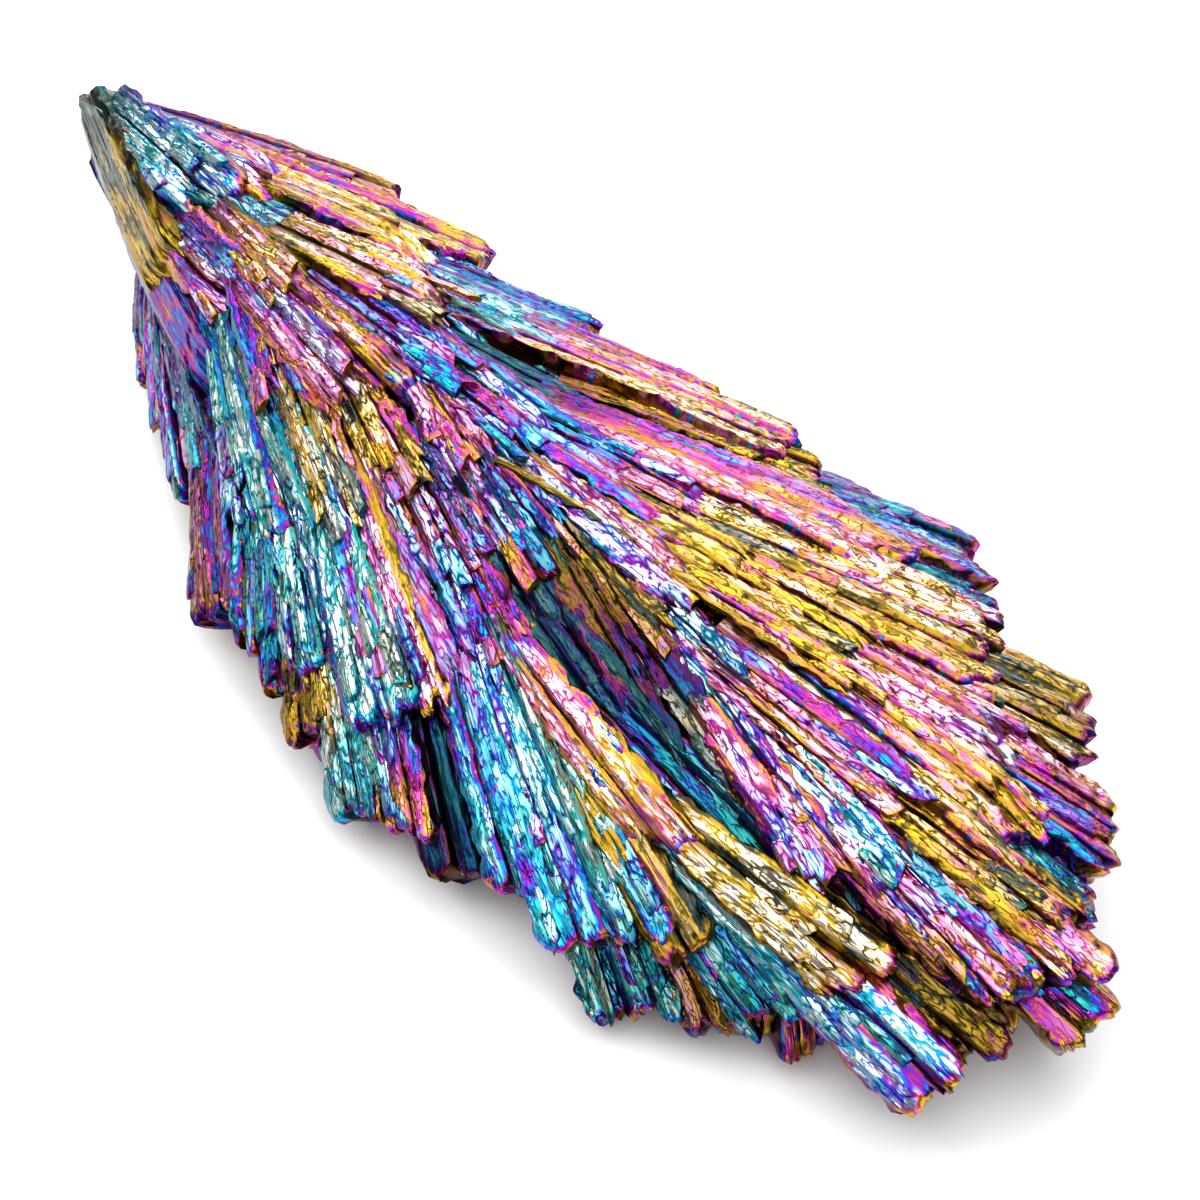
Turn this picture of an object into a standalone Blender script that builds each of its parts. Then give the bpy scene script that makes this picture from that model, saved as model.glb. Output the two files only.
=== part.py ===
"""Kyanite fan with an iridescent metal coat: blades that grew together as one piece.

Long flat crystals grew outwards from a narrow root. They lie in sprays, each a few blades side
by side, and the sprays overlap like shingles on both sides of a low crest. +X runs along the
fan from its narrow tip, +Y is the shorter flank and +Z is up. The origin is on the broken flat
underneath, where the specimen rests. Lengths below are in millimetres.
"""

import math

import bmesh
import bpy
import numpy as np

MM = 0.001

# Driving dimensions
TIP_X = -46.0  # the narrow end
FAN_END_X = 46.0  # the ragged wide end
CREST_TOP = 15.5  # the highest line of the crest above the table
CREST_X = -12.0  # where the crest is highest
CREST_Y = -1.0  # the crest lies a little off the middle
TIP_FALL = 4.0  # how far the crest is lower at the tip
END_FALL = 6.5  # how far it is lower at the fan's end
FAR_RIM = 8.5  # top of the blades at the +Y rim
NEAR_RIM = 5.0  # top of the blades at the -Y rim

# The rim seen from above: x and the two sides' y
RIM = (
    (-46.0, -1.4, 2.0),
    (-36.0, -4.4, 9.2),
    (-28.0, -8.5, 10.0),
    (-18.0, -14.0, 11.4),
    (-8.0, -18.0, 12.4),
    (3.0, -19.6, 14.5),
    (14.0, -19.4, 16.0),
    (24.0, -17.4, 14.5),
    (31.0, -14.6, 13.0),
    (37.0, -11.8, 8.5),
    (46.0, -5.0, 2.5),
)

# A blade's section
GROOVE = 0.75  # depth of the groove between two blades of a spray
BEVEL = 0.20  # each blade's bevel, as a share of its width
EDGE_DROP = 1.3  # how far a spray's outer edges lie below its top
ROOT_TAPER = 0.45  # a spray's width at its root, as a share of its width at the tip
ROOT_THICK = 1.8
BACK_WIDTH = 0.72  # a spray's back is narrower than its face
UNEVEN = 0.40  # how much neighbouring blades differ in height
STAGGER = 0.10  # how much their ends differ, as a share of the length
SKEW = 0.10  # a spray's outermost blade is this much shorter than its innermost

FLAT_WITHIN = math.radians(1.5)  # neighbouring faces this close to level are one face

# The grown-together middle below the sprays
HEART_DEPTH = 2.6  # how far its top lies below the blades' tops
HEART_SHARE = 0.74  # its half width, as a share of the rim's
TIP_RISE = 8.2  # height of its underside at the tip
TIP_RISE_X = -33.0  # where the underside starts to rise towards the tip
END_RISE = 2.4  # height of its underside at the fan's end
END_RISE_X = 30.0

# Each spray: name, root (x, y), tip (x, y), depth of root and tip below the crest's surface,
# width at the tip, thickness at the tip, blades
TOP_SPRAYS = (
    # the tip, from the +Y rim round to the -Y rim
    ("tip_cap", (-44.8, 0.3), (-38.0, 0.6), 0.2, 0.6, 4.8, 4.4, 3),
    ("tip_rim", (-44.2, 2.0), (-27.6, 10.6), 0.4, 0.0, 4.6, 4.0, 3),
    ("gold_crest", (-43.0, 1.0), (-18.4, 11.2), 0.6, -0.4, 5.6, 4.2, 4),
    ("gold_bars", (-40.0, 0.0), (-17.4, 6.6), 0.8, -0.7, 5.0, 4.0, 3),
    ("sky_fan", (-44.0, 0.2), (-27.0, 3.2), 0.2, -0.2, 4.4, 2.6, 3),
    ("sky_bars", (-43.6, -0.2), (-29.4, -2.2), 0.1, -0.5, 5.2, 2.8, 4),
    ("smooth_flank", (-45.0, -0.4), (-20.0, -9.4), 0.9, 0.6, 5.6, 3.0, 2),
    ("green_strip", (-33.0, -0.6), (-19.4, 0.4), 1.2, 0.7, 4.2, 3.0, 3),
    ("plum_bars", (-35.0, -2.8), (-22.6, -5.2), 0.8, 0.3, 5.2, 3.2, 3),
    ("gold_knot", (-28.0, -2.2), (-19.0, -3.6), 0.6, 0.0, 3.6, 2.6, 3),
    # the -Y flank below the tip
    ("pocket_upper", (-35.6, -4.2), (-31.0, -7.8), 3.0, 2.8, 4.2, 4.0, 3),
    ("pocket_lower", (-32.4, -5.8), (-24.2, -11.6), 2.4, 1.8, 4.6, 4.0, 3),
    ("flank_fringe", (-28.6, -7.0), (-17.8, -13.6), 1.8, 1.0, 4.6, 4.0, 4),
    ("violet_slat", (-27.0, -7.6), (-15.2, -13.0), 1.0, 0.5, 2.6, 3.4, 2),
    ("bronze_fringe", (-19.6, -10.4), (-10.4, -17.6), 1.2, 0.3, 4.4, 4.6, 4),
    ("mint_bars", (-22.0, -7.6), (-9.8, -14.4), 0.6, -0.3, 4.4, 3.2, 3),
    ("reed_fringe", (-13.0, -11.8), (-4.2, -18.8), 1.4, 0.6, 4.2, 4.0, 3),
    ("ice_bars", (-14.0, -9.6), (-1.0, -17.0), 0.8, -0.3, 4.8, 3.2, 3),
    ("grey_bars", (-18.0, -7.4), (-3.2, -13.0), 0.8, 0.0, 4.0, 3.0, 3),
    ("pearl_bars", (-7.0, -11.0), (4.6, -16.8), 0.8, -0.6, 4.8, 3.2, 3),
    ("brass_fringe", (-4.0, -13.6), (6.4, -20.0), 1.8, 1.0, 4.6, 4.0, 4),
    ("steel_fringe", (0.6, -13.6), (10.4, -19.6), 1.6, 0.8, 4.0, 4.0, 3),
    ("ink_bars", (3.4, -13.2), (13.8, -18.2), 2.2, 1.9, 3.8, 4.0, 3),
    # the long pink ridge down the -Y side
    ("pink_ridge", (-25.0, -3.4), (-12.8, -8.6), 0.6, -0.3, 4.6, 3.0, 3),
    ("rose_fan", (-22.0, -3.8), (-9.4, -5.6), 0.4, -0.6, 5.6, 3.0, 4),
    ("blush_slats", (-16.0, -6.6), (-3.6, -11.6), 0.8, -0.1, 3.6, 3.0, 3),
    ("fuchsia_bars", (-7.0, -9.6), (5.8, -15.4), 0.7, -0.3, 4.6, 3.4, 3),
    ("wine_slat", (-6.0, -9.0), (8.4, -14.0), 0.9, 0.1, 3.0, 3.2, 2),
    # small blades in the middle
    ("bead_bars", (-12.0, -5.2), (-3.0, -8.2), 1.0, 0.4, 5.0, 2.6, 4),
    ("amber_pair", (-11.0, -2.0), (0.4, -4.8), 0.8, 0.1, 3.2, 2.6, 3),
    ("quill_bars", (-6.0, -6.2), (4.0, -9.2), 1.2, 0.4, 5.4, 2.6, 4),
    ("lilac_chips", (0.0, -7.6), (10.4, -10.2), 1.0, 0.4, 5.2, 2.6, 4),
    ("aqua_run", (-13.0, -0.6), (1.8, 0.2), 1.0, 0.2, 5.4, 2.8, 4),
    ("rust_chips", (-3.0, -3.4), (7.4, -5.4), 1.0, 0.4, 4.6, 2.6, 4),
    # the -Y lobe, on towards the fan's end
    ("teal_sheaf", (3.0, -11.4), (18.0, -18.0), 0.9, 0.1, 4.6, 3.8, 4),
    ("cobalt_sheaf", (7.4, -11.2), (23.0, -17.6), 0.8, -0.3, 5.0, 3.8, 4),
    ("azure_slats", (10.0, -10.8), (25.0, -15.2), 0.8, -0.2, 3.4, 3.4, 3),
    ("bronze_slat", (11.0, -10.4), (26.6, -14.0), 0.8, -0.2, 3.2, 3.4, 2),
    ("cream_prongs", (8.0, -9.6), (22.8, -11.8), 0.8, -1.0, 3.6, 3.0, 2),
    ("hem_fringe", (15.0, -13.0), (26.8, -17.4), 2.0, 1.6, 5.2, 3.2, 4),
    ("shadow_flap", (19.0, -11.2), (30.6, -14.4), 2.2, 2.4, 4.0, 2.8, 3),
    ("cobalt_reeds", (17.0, -11.4), (32.6, -12.8), 1.2, 1.0, 3.6, 3.0, 3),
    # the dark valley
    ("valley_head", (-2.0, -4.4), (12.6, -7.4), 1.0, 0.9, 5.6, 2.8, 4),
    ("slate_run", (6.0, -3.6), (20.0, -6.8), 1.0, 0.6, 5.6, 2.8, 4),
    ("ink_run", (8.0, -7.4), (23.0, -9.8), 1.2, 1.2, 5.0, 2.8, 3),
    ("turquoise_run", (15.0, -8.4), (30.0, -8.8), 1.1, 0.9, 4.8, 2.8, 3),
    ("umber_slats", (3.0, -2.4), (16.0, -3.8), 0.9, 0.4, 3.6, 2.8, 3),
    ("umber_tail", (13.0, -5.0), (28.0, -7.2), 0.9, 0.5, 3.2, 2.8, 3),
    # the cream lobe and its dark neighbours
    ("cream_sheaf", (19.0, -9.4), (34.4, -8.9), 0.9, -0.4, 4.6, 3.4, 4),
    ("long_prow", (21.0, -10.6), (41.4, -10.8), 1.1, -0.8, 4.8, 4.4, 4),
    ("ochre_reeds", (27.6, -7.6), (41.2, -7.2), 1.2, 0.8, 4.0, 3.4, 4),
    ("night_reeds", (27.0, -6.0), (40.6, -4.9), 1.4, 1.4, 4.0, 3.4, 3),
    ("violet_reeds", (26.0, -5.6), (38.0, -5.4), 1.0, 0.6, 3.8, 3.0, 3),
    ("magenta_tongue", (18.0, -4.6), (31.4, -7.4), 0.8, -0.8, 4.2, 3.2, 3),
    ("mint_slats", (19.0, -3.6), (34.0, -4.6), 0.8, -0.2, 3.4, 3.0, 3),
    ("orchid_reeds", (27.0, -3.8), (40.8, -3.8), 0.8, 0.0, 4.2, 3.0, 3),
    # the +Y flank and its lobes
    ("peach_fan", (-23.0, 0.4), (-10.4, 2.8), 0.6, -0.3, 5.6, 3.0, 4),
    ("mulberry_run", (-18.0, -1.8), (-5.0, -1.6), 0.7, 0.0, 5.0, 2.8, 4),
    ("blue_ledge", (-20.0, 5.0), (-8.2, 12.4), 1.6, 0.5, 5.2, 4.0, 3),
    ("pale_ledge", (-19.0, 3.2), (-6.0, 7.2), 1.0, 0.2, 4.4, 3.2, 3),
    ("plum_rim", (-13.0, 6.4), (1.2, 14.4), 1.2, 0.4, 5.0, 4.0, 3),
    ("rose_gold_bars", (-10.0, 5.2), (5.8, 13.8), 0.8, -0.4, 5.8, 4.0, 4),
    ("navy_gap", (-8.0, 1.8), (8.6, 6.4), 1.0, 1.1, 4.0, 2.8, 3),
    ("gold_rim", (-3.0, 6.4), (9.4, 14.0), 0.9, 0.0, 4.4, 4.0, 3),
    ("smoke_rim", (2.0, 8.4), (13.0, 15.8), 1.4, 0.7, 4.0, 4.0, 3),
    ("cerise_run", (-1.0, 3.6), (17.0, 12.2), 0.8, -0.3, 5.0, 3.8, 4),
    ("iris_rim", (5.0, 9.4), (18.8, 17.6), 1.2, 0.3, 5.0, 4.0, 4),
    ("orchid_run", (-4.0, 0.0), (10.6, 3.6), 0.8, -0.1, 5.0, 3.0, 4),
    ("olive_run", (1.0, -1.2), (16.0, 2.6), 0.8, 0.0, 4.6, 3.0, 3),
    ("teal_rim", (6.0, 5.8), (21.2, 15.2), 1.4, 0.6, 4.8, 4.0, 3),
    ("amber_sheaf", (6.0, 2.2), (25.2, 11.4), 0.8, -0.3, 6.8, 4.0, 5),
    ("salmon_sheaf", (10.0, 0.6), (25.4, 4.4), 0.8, -0.5, 5.8, 3.4, 4),
    ("slate_prongs", (16.0, 5.8), (31.6, 12.8), 1.2, 0.2, 6.4, 4.4, 4),
    ("copper_sheaf", (16.0, 3.0), (31.6, 8.0), 0.9, 0.0, 5.4, 3.8, 4),
    ("iris_prongs", (24.0, 3.8), (38.0, 7.6), 1.2, 0.1, 5.2, 4.4, 4),
    ("honey_sheaf", (18.0, 0.8), (36.6, 3.0), 0.8, -0.4, 5.4, 3.8, 4),
    ("teal_prongs", (27.6, 1.8), (39.8, 3.4), 1.4, 1.6, 5.0, 4.0, 4),
    ("rose_keel", (17.0, -2.4), (32.4, -1.2), 0.8, -0.3, 4.4, 3.2, 3),
    ("bronze_keel", (27.0, -1.4), (41.2, 0.6), 0.8, 0.0, 4.4, 3.6, 3),
    ("end_sheaf", (30.0, -2.4), (44.6, -1.0), 0.9, 0.2, 4.8, 4.6, 4),
    ("end_prow", (31.0, -3.6), (45.8, -3.2), 1.0, 0.2, 4.4, 5.0, 4),
)

# Sprays under the rims, whose ridged faces look down and out: name, root and tip (x, y, z),
# width, thickness, blades
UNDER_SPRAYS = (
    ("under_tip", (-30.0, -1.0, 1.2), (-45.0, 0.6, 7.6), 4.6, 2.6, 3),
    ("under_far_a", (-34.0, 1.0, 2.2), (-27.0, 8.2, 4.2), 5.0, 3.0, 4),
    ("under_far_b", (-26.0, 1.6, 1.0), (-15.0, 9.8, 3.2), 6.6, 3.2, 4),
    ("under_far_c", (-16.0, 2.2, 0.6), (-2.6, 11.8, 3.0), 7.2, 3.2, 4),
    ("under_far_d", (-5.0, 3.0, 0.6), (9.4, 13.4, 3.0), 7.6, 3.2, 4),
    ("under_far_e", (5.0, 4.0, 0.6), (19.0, 14.2, 3.2), 7.2, 3.2, 4),
    ("under_far_f", (14.0, 3.0, 0.6), (29.4, 11.4, 3.0), 7.4, 3.4, 4),
    ("under_end_a", (22.0, 1.0, 0.6), (38.0, 6.0, 3.0), 6.6, 3.4, 4),
    ("under_end_b", (24.0, -2.0, 0.4), (41.6, -1.2, 2.8), 5.4, 3.4, 4),
    ("under_end_c", (22.0, -4.0, 0.4), (37.4, -7.6, 1.6), 5.0, 3.0, 4),
    ("under_near_a", (-32.0, -2.4, 1.2), (-25.6, -8.6, 2.2), 4.8, 3.0, 4),
    ("under_near_b", (-26.0, -3.4, 0.6), (-17.4, -11.6, 1.6), 6.0, 3.0, 4),
    ("under_near_c", (-18.0, -4.4, 0.5), (-7.6, -15.2, 1.2), 5.6, 3.0, 4),
    ("under_near_d", (-8.0, -5.4, 0.4), (3.2, -17.4, 1.4), 6.6, 3.0, 4),
    ("under_near_e", (2.0, -6.0, 0.4), (13.6, -16.4, 1.4), 6.4, 3.0, 4),
    ("under_near_f", (12.0, -6.0, 0.4), (24.4, -15.4, 1.2), 6.6, 3.0, 4),
    ("under_near_g", (18.0, -5.4, 0.4), (33.0, -12.0, 1.2), 6.0, 3.0, 4),
)


def rim_at(x):
    """The two sides' y at x, along straight runs between the rim's points."""
    table = np.array(RIM)
    return np.interp(x, table[:, 0], table[:, 1]), np.interp(x, table[:, 0], table[:, 2])


def crest_height(x):
    """The crest is a low arch that falls off towards both ends."""
    to_end = max(x - CREST_X, 0.0) / (FAN_END_X - CREST_X)
    to_tip = max(CREST_X - x, 0.0) / (CREST_X - TIP_X)
    return CREST_TOP - END_FALL * to_end**1.6 - TIP_FALL * to_tip**1.5


def surface_height(x, y):
    """Height of the blades' tops: the crest less a rounded fall to the rim on either side."""
    near, far = rim_at(x)
    top = crest_height(x)
    side, rim_top = (far, FAR_RIM) if y > CREST_Y else (near, NEAR_RIM)
    outwards = (y - CREST_Y) / (side - CREST_Y)
    return top - (top - rim_top) * min(outwards, 1.3) ** 1.7


def surface_normal(x, y, step=0.5):
    """The blades' common surface slopes as its height changes over one step each way."""
    slope_x = (surface_height(x + step, y) - surface_height(x - step, y)) / (2 * step)
    slope_y = (surface_height(x, y + step) - surface_height(x, y - step)) / (2 * step)
    normal = np.array([-slope_x, -slope_y, 1.0])
    return normal / np.linalg.norm(normal)


def underside_height(x):
    """Flat where it rests, rising in straight slopes to the tip and to the fan's end."""
    rise_x = (TIP_X, TIP_RISE_X, END_RISE_X, FAN_END_X)
    return float(np.interp(x, rise_x, (TIP_RISE, 0.0, 0.0, END_RISE)))


def unit(vector):
    return vector / np.linalg.norm(vector)


def blade_steps(count, outer, seed):
    """Borders of the blades across a spray from -1 to 1, and each blade's height, lean and reach.

    outer is 1 or -1: the side of the spray that faces away from the crest, where blades are short.
    """
    draw = np.random.default_rng(seed)
    widths = draw.uniform(0.7, 1.3, count)
    borders = np.concatenate([[0.0], np.cumsum(widths)]) / widths.sum() * 2 - 1
    heights = draw.uniform(-UNEVEN, UNEVEN, count)
    leans = draw.uniform(-0.25, 0.25, count)
    outwards = (outer * (borders[:-1] + borders[1:]) / 2 + 1) / 2
    reaches = 1 - STAGGER * draw.uniform(0.0, 1.0, count) - SKEW * outwards
    return borders, heights, leans, reaches / reaches.max()


def spray_section(count, outer, seed):
    """The stepped section: across, height and reach of each point from one edge to the other."""
    borders, heights, leans, reaches = blade_steps(count, outer, seed)
    points = [(borders[0], -EDGE_DROP, reaches[0] - 0.02)]
    for i in range(count):
        bevel = BEVEL * (borders[i + 1] - borders[i])
        points.append((borders[i] + bevel, heights[i] - leans[i], reaches[i]))
        points.append((borders[i + 1] - bevel * 0.2, heights[i] + leans[i], reaches[i]))
    points.append((borders[-1], -EDGE_DROP, reaches[-1] - 0.02))
    return np.array(points), reaches.min()


def spray_mesh(name, root, tip, up, width, thick, count, seed):
    """A wedge that widens from root to tip, with a ridged face and a narrower flat back."""
    run = tip - root
    side = unit(np.cross(unit(run), up))
    outer = math.copysign(1.0, side[1] * (root[1] + tip[1] - 2 * CREST_Y))
    section, shortest = spray_section(count, outer, seed)
    across, height, reach = section.T
    face = np.cross(side, unit(run))
    rings = []
    for share, depth in ((0.0, ROOT_THICK), (1.0, thick)):
        half = width / 2 * (ROOT_TAPER + (1 - ROOT_TAPER) * share)
        relief = 0.5 + 0.5 * share
        front = (
            root
            + np.outer(reach * share, run)
            + np.outer(across * half, side)
            + np.outer(height * relief, face)
        )
        back_at = root + run * (shortest - 0.03) * share - face * depth
        edge = side * half * BACK_WIDTH
        back = [back_at + edge, back_at, back_at - edge]
        rings.append(np.vstack([front, back]))
    around = len(rings[0])
    middle = around - 2
    faces = []
    for i in range(around):
        j = (i + 1) % around
        faces += [(i, j, around + j), (i, around + j, around + i)]
        if middle not in (i, j):
            faces += [(middle, j, i), (around + middle, around + i, around + j)]
    mesh = bpy.data.meshes.new(name)
    mesh.from_pydata([tuple(p * MM) for p in np.vstack(rings)], [], faces)
    return mesh


def heart_mesh():
    """The middle: sections across the fan, joined from the tip to the end and capped."""
    stations = (-44.4, -41.0, -36.0, -31.0, -24.0, -16.0, -6.0, 4.0, 14.0, 23.0, 31.0, 37.0, 40.5)
    shares = (-1.0, -0.8, -0.4, 0.0, 0.4, 0.8, 1.0)
    rings = []
    for x in stations:
        near, far = rim_at(x)
        base = underside_height(x)
        ring = []
        for share in shares:
            side = far if share > 0 else near
            y = CREST_Y + abs(share) * HEART_SHARE * (side - CREST_Y)
            z = surface_height(x, y) - HEART_DEPTH
            if abs(share) == 1.0:
                z = (z + base) / 2
            ring.append((x, y, max(z, base + 0.6)))
        ring.append((x, CREST_Y + 0.62 * (far - CREST_Y) * HEART_SHARE, base))
        ring.append((x, CREST_Y + 0.62 * (near - CREST_Y) * HEART_SHARE, base))
        rings.append(ring)
    around = len(rings[0])
    faces = []
    for k in range(len(rings) - 1):
        for i in range(around):
            j = (i + 1) % around
            a, b = k * around, (k + 1) * around
            faces += [(a + i, b + i, b + j), (a + i, b + j, a + j)]
    faces.append(tuple(range(around)))
    faces.append(tuple((len(rings) - 1) * around + i for i in reversed(range(around))))
    mesh = bpy.data.meshes.new("kyanite_fan")
    mesh.from_pydata([tuple(v * MM for v in p) for ring in rings for p in ring], [], faces)
    return mesh


def outward(mesh):
    """Turns every face of a closed mesh outwards."""
    work = bmesh.new()
    work.from_mesh(mesh)
    bmesh.ops.recalc_face_normals(work, faces=work.faces)
    work.to_mesh(mesh)
    work.free()
    return mesh


def coat_material():
    """A thin metal film on dark kyanite: violet on the whole, and glossy."""
    material = bpy.data.materials.new("iridescent_coat")
    material.use_nodes = True
    shader = material.node_tree.nodes["Principled BSDF"]
    shader.inputs["Base Color"].default_value = (0.45, 0.22, 0.55, 1.0)
    shader.inputs["Metallic"].default_value = 1.0
    shader.inputs["Roughness"].default_value = 0.35
    return material


def add_guide(mesh, collection):
    """A shape that the fan is made from, and that isn't a node itself."""
    guide = bpy.data.objects.new(mesh.name, mesh)
    guide.hide_render = True
    guide.display_type = "WIRE"
    collection.objects.link(guide)
    return guide


def add_sprays(collection):
    for seed, (name, root, tip, root_depth, tip_depth, width, thick, count) in enumerate(TOP_SPRAYS):
        start = np.array([*root, surface_height(*root) - root_depth])
        end = np.array([*tip, surface_height(*tip) - tip_depth])
        middle = start * 0.35 + end * 0.65
        up = surface_normal(middle[0], middle[1])
        mesh = spray_mesh(name, start, end, up, width, thick, count, seed)
        add_guide(outward(mesh), collection)
    for seed, (name, root, tip, width, thick, count) in enumerate(UNDER_SPRAYS, len(TOP_SPRAYS)):
        down = np.array([0.0, 0.25 * math.copysign(1.0, tip[1] - CREST_Y), -1.0])
        mesh = spray_mesh(name, np.array(root), np.array(tip), down, width, thick, count, seed)
        add_guide(outward(mesh), collection)


def table_slab(collection):
    """A slab below z = 0 that levels the underside, as the break there did."""
    half, deep = 60.0 * MM, 20.0 * MM
    corners = [(x, y, z) for z in (-deep, 0.0) for y in (-half, half) for x in (-half, half)]
    faces = [(0, 2, 3, 1), (4, 5, 7, 6), (0, 1, 5, 4), (2, 6, 7, 3), (0, 4, 6, 2), (1, 3, 7, 5)]
    mesh = bpy.data.meshes.new("table_slab")
    mesh.from_pydata(corners, [], faces)
    return add_guide(outward(mesh), collection)


def linked_faces(start):
    """All faces of the skin that this one belongs to, reached over edges of two faces."""
    found, open_ends = {start}, [start]
    while open_ends:
        shared = [edge.link_faces for edge in open_ends.pop().edges if len(edge.link_faces) == 2]
        joined = {face for pair in shared for face in pair} - found
        found |= joined
        open_ends += joined
    return found


def keep_outer_skin(fan):
    """Fills the pockets that overlapping sprays close off inside, and merges level faces."""
    shaped = fan.evaluated_get(bpy.context.evaluated_depsgraph_get())
    mesh = bpy.data.meshes.new_from_object(shaped)
    work = bmesh.new()
    work.from_mesh(mesh)
    skin = linked_faces(max(work.faces, key=lambda face: face.calc_center_median().z))
    inside = [face for face in work.faces if face not in skin]
    bmesh.ops.delete(work, geom=inside, context="FACES")
    bmesh.ops.dissolve_limit(
        work, angle_limit=FLAT_WITHIN, verts=work.verts, edges=work.edges, use_dissolve_boundaries=True
    )
    work.to_mesh(mesh)
    work.free()
    fan.modifiers.clear()
    fan.data = mesh


def build_fan():
    """Joins the sprays to the middle in one solid, then levels the underside."""
    scene = bpy.context.scene.collection
    sprays = bpy.data.collections.new("sprays")
    scene.children.link(sprays)
    add_sprays(sprays)
    fan = bpy.data.objects.new("kyanite_fan", outward(heart_mesh()))
    scene.objects.link(fan)
    fan.data.materials.append(coat_material())
    join = fan.modifiers.new("grown_together", "BOOLEAN")
    join.operation = "UNION"
    join.operand_type = "COLLECTION"
    join.collection = sprays
    join.solver = "EXACT"
    level = fan.modifiers.new("level_underside", "BOOLEAN")
    level.operation = "DIFFERENCE"
    level.object = table_slab(scene)
    level.solver = "EXACT"
    keep_outer_skin(fan)


for old in list(bpy.data.objects):
    bpy.data.objects.remove(old)
build_fan()
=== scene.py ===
import math

import bpy
import numpy as np
from mathutils import Matrix


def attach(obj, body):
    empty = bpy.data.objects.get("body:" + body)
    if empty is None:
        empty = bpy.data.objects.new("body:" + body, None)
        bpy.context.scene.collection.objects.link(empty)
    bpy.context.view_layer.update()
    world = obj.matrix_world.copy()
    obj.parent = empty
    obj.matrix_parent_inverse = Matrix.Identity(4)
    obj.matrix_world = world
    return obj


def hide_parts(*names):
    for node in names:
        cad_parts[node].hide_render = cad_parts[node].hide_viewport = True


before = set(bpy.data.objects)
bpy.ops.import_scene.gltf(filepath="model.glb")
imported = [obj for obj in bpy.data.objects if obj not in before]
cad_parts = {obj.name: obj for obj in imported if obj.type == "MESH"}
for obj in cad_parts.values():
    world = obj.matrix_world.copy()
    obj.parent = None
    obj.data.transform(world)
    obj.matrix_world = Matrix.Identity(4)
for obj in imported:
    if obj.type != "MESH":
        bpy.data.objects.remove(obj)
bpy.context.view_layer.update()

# The tip
# Where all blades start: a narrow broken end, with the first sprays of gold, magenta and sky-blue
# blades over it. All blades are one crystal mass under a metal oxide film a few hundred
# nanometres thick, grown on it in a vacuum. The film's thickness sets its hue, as on an oil slick.

MM = 0.001
# The crest's y, and its summit's x and height. All lengths are in mm up to the mesh.
CREST_Y, SUMMIT_X, SUMMIT = -1.0, -12.0, 15.5
# How high the blades' tops are at the rim, on the near side and on the far side
NEAR_TOP, FAR_TOP = 5.0, 8.5
# The rim seen from above: x, then y on the near side and on the far side
RIM = np.array(
    [
        (-46.0, -1.4, 2.0),
        (-36.0, -4.4, 9.2),
        (-28.0, -8.5, 10.0),
        (-18.0, -14.0, 11.4),
        (-8.0, -18.0, 12.4),
        (3.0, -19.6, 14.5),
        (14.0, -19.4, 16.0),
        (24.0, -17.4, 14.5),
        (31.0, -14.6, 13.0),
        (37.0, -11.8, 8.5),
        (46.0, -5.0, 2.5),
    ]
)
# The film's hues as it grows thicker: each one's place on the film, and its colour
FILM_HUES = (
    ("steel", 0.00, (0.14, 0.22, 0.30)),
    ("olive", 0.07, (0.46, 0.38, 0.11)),
    ("gold", 0.17, (0.96, 0.78, 0.16)),
    ("copper", 0.27, (0.94, 0.60, 0.24)),
    ("rose", 0.34, (0.85, 0.33, 0.56)),
    ("magenta", 0.41, (0.76, 0.15, 0.64)),
    ("violet", 0.49, (0.42, 0.12, 0.80)),
    ("cobalt", 0.54, (0.04, 0.34, 0.90)),
    ("azure", 0.585, (0.02, 0.60, 0.92)),
    ("teal", 0.67, (0.03, 0.66, 0.74)),
    ("green", 0.81, (0.20, 0.74, 0.72)),
    ("sage", 0.90, (0.50, 0.57, 0.45)),
)
# A blade's tint: its place on the film, and how strongly a painted highlight whitens it. The
# pale tints, such as cream, ice and mint, are film hues under a strong painted highlight.
TINTS = {
    "pewter": (-0.08, 0.45),
    "slate": (0.00, 0.05),
    "olive": (0.08, 0.05),
    "gold": (0.18, 0.12),
    "cream": (0.19, 0.68),
    "copper": (0.24, 0.15),
    "peach": (0.29, 0.60),
    "rose": (0.34, 0.30),
    "pink": (0.38, 0.62),
    "magenta": (0.41, 0.20),
    "plum": (0.44, 0.00),
    "lilac": (0.47, 0.72),
    "violet": (0.49, 0.10),
    "cobalt": (0.56, 0.15),
    "sky": (0.63, 0.65),
    "azure": (0.64, 0.20),
    "teal": (0.72, 0.15),
    "ice": (0.69, 0.90),
    "mint": (0.75, 0.85),
    "green": (0.81, 0.15),
    "sage": (0.90, 0.30),
    "butter": (0.13, 1.00),
}


def unit(vector):
    return vector / np.linalg.norm(vector)


def ease(edge, width, x):
    """0 below the edge, 1 above it, and a smooth step over the width between."""
    t = np.clip((x - edge) / width, 0.0, 1.0)
    return t * t * (3 - 2 * t)


def hashed(a, b, seed):
    """A random value from 0 to 1 for each pair of whole numbers: what is left of a large sine."""
    value = np.sin(a * 127.1 + b * 311.7 + seed * 74.7) * 43758.5453
    return value - np.floor(value)


def grain(x, y, seed):
    """Smooth noise from -1 to 1: a random value at each whole x and y, eased between them."""
    ix, iy = np.floor(x), np.floor(y)
    fx, fy = ease(0.0, 1.0, x - ix), ease(0.0, 1.0, y - iy)
    low = hashed(ix, iy, seed) * (1 - fx) + hashed(ix + 1, iy, seed) * fx
    high = hashed(ix, iy + 1, seed) * (1 - fx) + hashed(ix + 1, iy + 1, seed) * fx
    return (low * (1 - fy) + high * fy) * 2 - 1


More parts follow.
